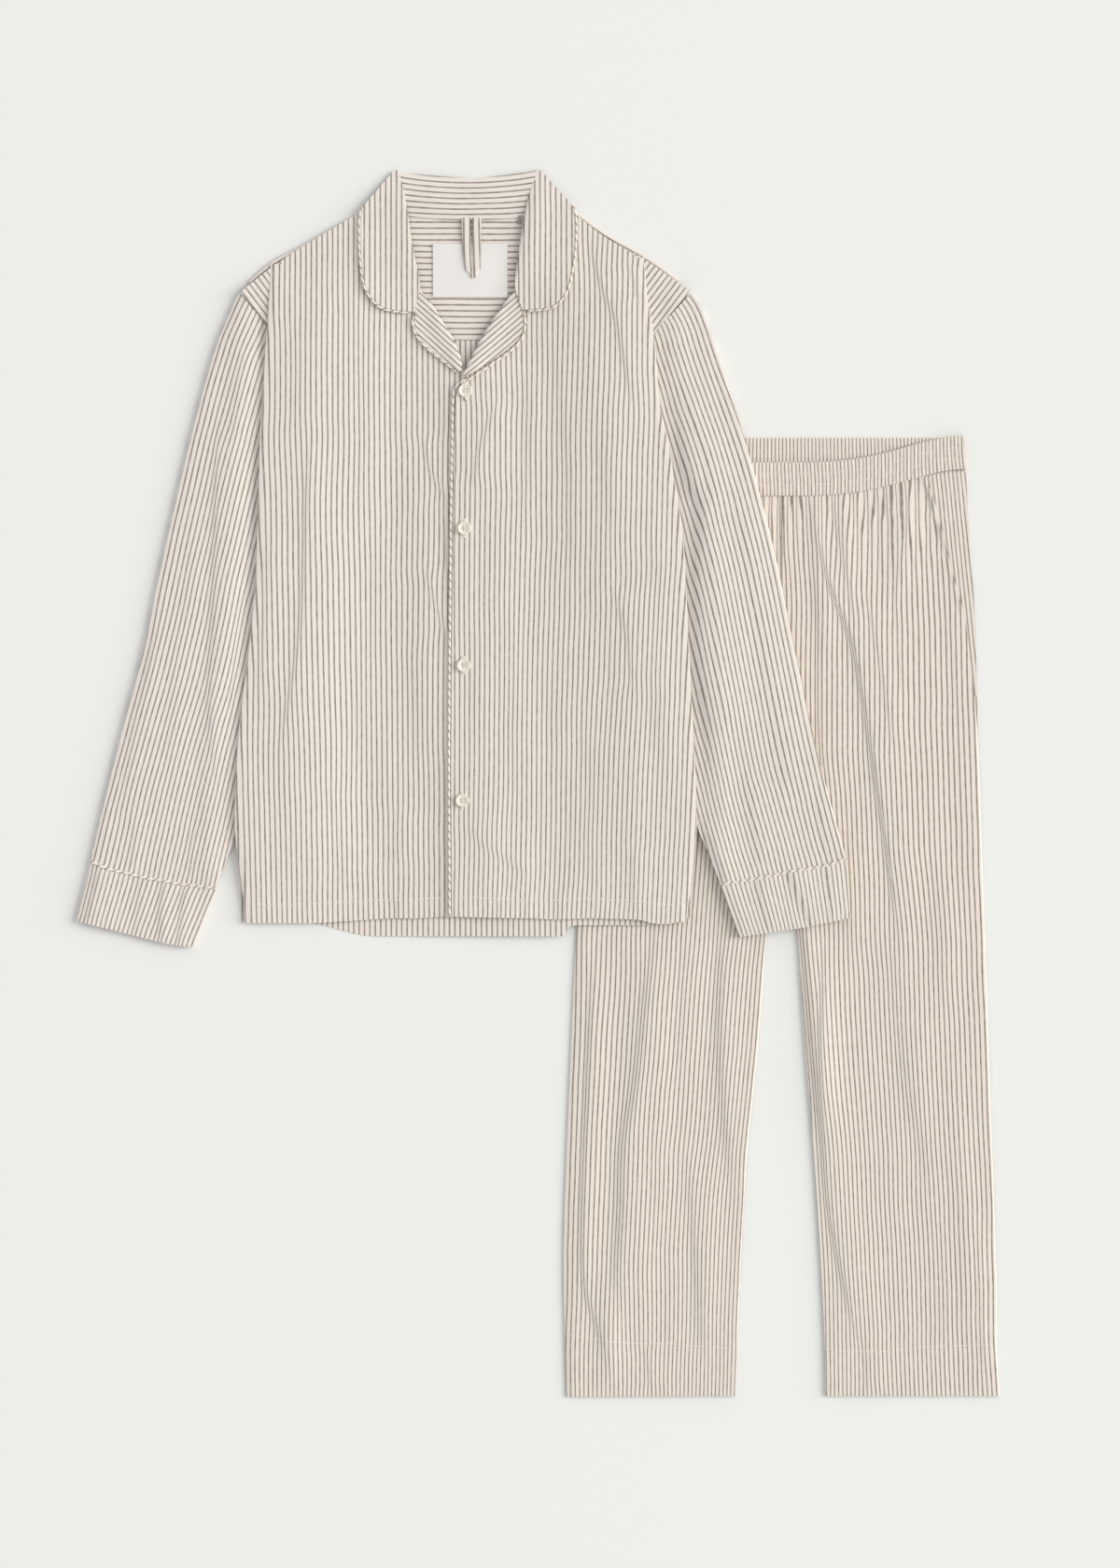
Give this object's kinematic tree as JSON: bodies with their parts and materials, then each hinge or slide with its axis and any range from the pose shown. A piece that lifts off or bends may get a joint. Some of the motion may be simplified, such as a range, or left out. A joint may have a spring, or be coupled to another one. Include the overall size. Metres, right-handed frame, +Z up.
{
  "type": "pyjama set",
  "caption": "Striped cotton pyjama set laid flat: long-sleeved shirt with piped notch collar and buttoned front over elastic-waist trousers.",
  "frame": {"origin": "middle of the set's bounding box, on the floor it lies on", "axes": "+Z up from the floor, +Y towards the shirt's collar, +X to the right as seen from above"},
  "size_m": [0.9893, 1.3132, 0.016],
  "materials": {
    "shirt_cloth": "yarn-dyed striped cotton poplin",
    "trouser_cloth": "yarn-dyed striped cotton poplin",
    "piping_cloth": "bias-cut striped piping",
    "pearl_shell": "polished pearl shell",
    "label_cloth": "woven satin ribbon"
  },
  "bodies": {
    "root": {"trouser_front_left": "trouser_cloth", "trouser_front_right": "trouser_cloth", "trouser_back_left": "trouser_cloth", "trouser_back_right": "trouser_cloth", "pocket_facing": "trouser_cloth", "waistband": "trouser_cloth", "shirt_back": "shirt_cloth", "shirt_yoke": "shirt_cloth", "shirt_front_left": "shirt_cloth", "shirt_front_right": "shirt_cloth", "sleeve_left": "shirt_cloth", "sleeve_right": "shirt_cloth", "cuff_left": "shirt_cloth", "cuff_right": "shirt_cloth", "collar": "shirt_cloth", "lapel_left": "shirt_cloth", "lapel_right": "shirt_cloth", "piping_collar_left": "piping_cloth", "piping_collar_right": "piping_cloth", "piping_lapel_left": "piping_cloth", "piping_front_edge": "piping_cloth", "piping_cuff_left": "piping_cloth", "piping_cuff_right": "piping_cloth", "neck_label": "label_cloth", "hanging_loop": "shirt_cloth", "button_1": "pearl_shell", "button_2": "pearl_shell", "button_3": "pearl_shell", "button_4": "pearl_shell"}
  },
  "joints": []
}
